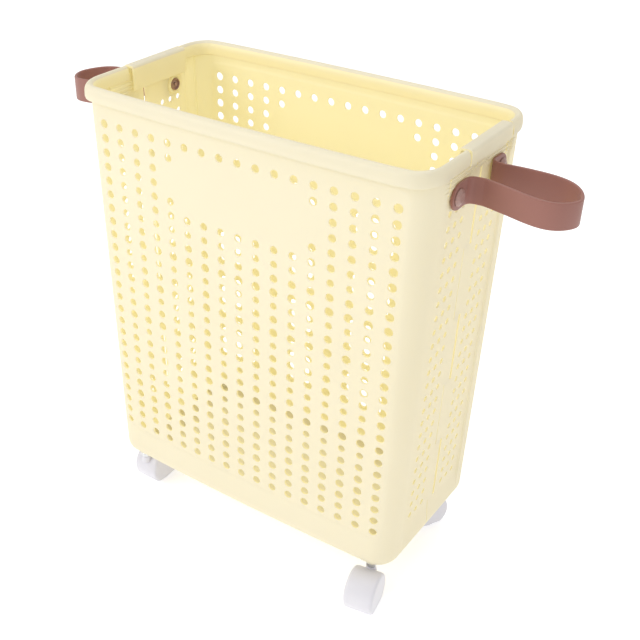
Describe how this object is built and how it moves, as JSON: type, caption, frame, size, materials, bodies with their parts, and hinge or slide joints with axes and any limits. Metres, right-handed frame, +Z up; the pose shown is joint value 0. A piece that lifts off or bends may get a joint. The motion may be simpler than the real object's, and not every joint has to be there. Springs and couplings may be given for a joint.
{
  "type": "laundry basket on casters",
  "caption": "Tall slim perforated laundry basket in cream plastic, made of front and rear half shells, with mauve strap handles on its ends and small hooded casters.",
  "frame": {"origin": "on the floor, midway between the four casters", "axes": "+X along the long side, -Y out of the front face, +Z up"},
  "size_m": [0.594, 0.2492, 0.5206],
  "materials": {
    "cream": "satin moulded polypropylene",
    "strap": "soft matt moulded elastomer",
    "rivet": "semi-gloss moulded plastic",
    "nylon": "satin white moulded nylon",
    "steel": "bright zinc plate"
  },
  "bodies": {
    "basket": {"floor_tray": "cream", "front_left_stem_socket": "cream", "front_right_stem_socket": "cream", "front_shell": "cream", "left_front_rivet": "rivet", "left_front_rivet_cap": "rivet", "left_handle_front_end": "strap", "left_handle_rear_end": "strap", "left_rear_rivet": "rivet", "left_rear_rivet_cap": "rivet", "left_rim_clip": "cream", "rear_left_stem_socket": "cream", "rear_right_stem_socket": "cream", "rear_shell": "cream", "right_front_rivet": "rivet", "right_front_rivet_cap": "rivet", "right_handle_front_end": "strap", "right_handle_rear_end": "strap", "right_rear_rivet": "rivet", "right_rear_rivet_cap": "rivet", "right_rim_clip": "cream"},
    "left_handle": {"left_handle_loop": "strap"},
    "right_handle": {"right_handle_loop": "strap"},
    "front_right_caster": {"front_right_caster_stem": "steel", "front_right_caster_hood": "nylon", "front_right_caster_axle": "steel"},
    "front_right_left_wheel": {"front_right_left_wheel": "nylon"},
    "front_right_right_wheel": {"front_right_right_wheel": "nylon"},
    "front_left_caster": {"front_left_caster_stem": "steel", "front_left_caster_hood": "nylon", "front_left_caster_axle": "steel"},
    "front_left_left_wheel": {"front_left_left_wheel": "nylon"},
    "front_left_right_wheel": {"front_left_right_wheel": "nylon"},
    "rear_right_caster": {"rear_right_caster_stem": "steel", "rear_right_caster_hood": "nylon", "rear_right_caster_axle": "steel"},
    "rear_right_left_wheel": {"rear_right_left_wheel": "nylon"},
    "rear_right_right_wheel": {"rear_right_right_wheel": "nylon"},
    "rear_left_caster": {"rear_left_caster_stem": "steel", "rear_left_caster_hood": "nylon", "rear_left_caster_axle": "steel"},
    "rear_left_left_wheel": {"rear_left_left_wheel": "nylon"},
    "rear_left_right_wheel": {"rear_left_right_wheel": "nylon"}
  },
  "joints": [
    {"name": "front_right_swivel", "type": "hinge", "parent": "basket", "child": "front_right_caster", "pos_m": [0.1655, -0.08, 0.043], "axis": [0, 0, 1], "continuous": true},
    {"name": "front_right_left_wheel_spin", "type": "hinge", "parent": "front_right_caster", "child": "front_right_left_wheel", "pos_m": [0.17723, -0.09702, 0.0215], "axis": [0.9848, 0.1736, 0], "continuous": true},
    {"name": "front_right_right_wheel_spin", "type": "hinge", "parent": "front_right_caster", "child": "front_right_right_wheel", "pos_m": [0.16029, -0.10001, 0.0215], "axis": [0.9848, 0.1736, 0], "continuous": true},
    {"name": "front_left_swivel", "type": "hinge", "parent": "basket", "child": "front_left_caster", "pos_m": [-0.1655, -0.08, 0.043], "axis": [0, 0, 1], "continuous": true},
    {"name": "front_left_left_wheel_spin", "type": "hinge", "parent": "front_left_caster", "child": "front_left_left_wheel", "pos_m": [-0.1741, -0.0612, 0.0215], "axis": [-1, 0, 0], "continuous": true},
    {"name": "front_left_right_wheel_spin", "type": "hinge", "parent": "front_left_caster", "child": "front_left_right_wheel", "pos_m": [-0.1569, -0.0612, 0.0215], "axis": [-1, 0, 0], "continuous": true},
    {"name": "rear_right_swivel", "type": "hinge", "parent": "basket", "child": "rear_right_caster", "pos_m": [0.1655, 0.08, 0.043], "axis": [0, 0, 1], "continuous": true},
    {"name": "rear_right_left_wheel_spin", "type": "hinge", "parent": "rear_right_caster", "child": "rear_right_left_wheel", "pos_m": [0.16355, 0.05942, 0.0215], "axis": [0.866, -0.5, 0], "continuous": true},
    {"name": "rear_right_right_wheel_spin", "type": "hinge", "parent": "rear_right_caster", "child": "rear_right_right_wheel", "pos_m": [0.14865, 0.06802, 0.0215], "axis": [0.866, -0.5, 0], "continuous": true},
    {"name": "rear_left_swivel", "type": "hinge", "parent": "basket", "child": "rear_left_caster", "pos_m": [-0.1655, 0.08, 0.043], "axis": [0, 0, 1], "continuous": true},
    {"name": "rear_left_left_wheel_spin", "type": "hinge", "parent": "rear_left_caster", "child": "rear_left_left_wheel", "pos_m": [-0.17723, 0.09702, 0.0215], "axis": [-0.9848, -0.1736, 0], "continuous": true},
    {"name": "rear_left_right_wheel_spin", "type": "hinge", "parent": "rear_left_caster", "child": "rear_left_right_wheel", "pos_m": [-0.16029, 0.10001, 0.0215], "axis": [-0.9848, -0.1736, 0], "continuous": true},
    {"name": "right_handle_flex", "type": "hinge", "parent": "basket", "child": "right_handle", "pos_m": [0.22, 0, 0.495], "axis": [0, -1, 0], "range_deg": [0, 75], "stiffness_Nm_per_rad": 0.4},
    {"name": "left_handle_flex", "type": "hinge", "parent": "basket", "child": "left_handle", "pos_m": [-0.22, 0, 0.495], "axis": [0, 1, 0], "range_deg": [0, 75], "stiffness_Nm_per_rad": 0.4}
  ]
}
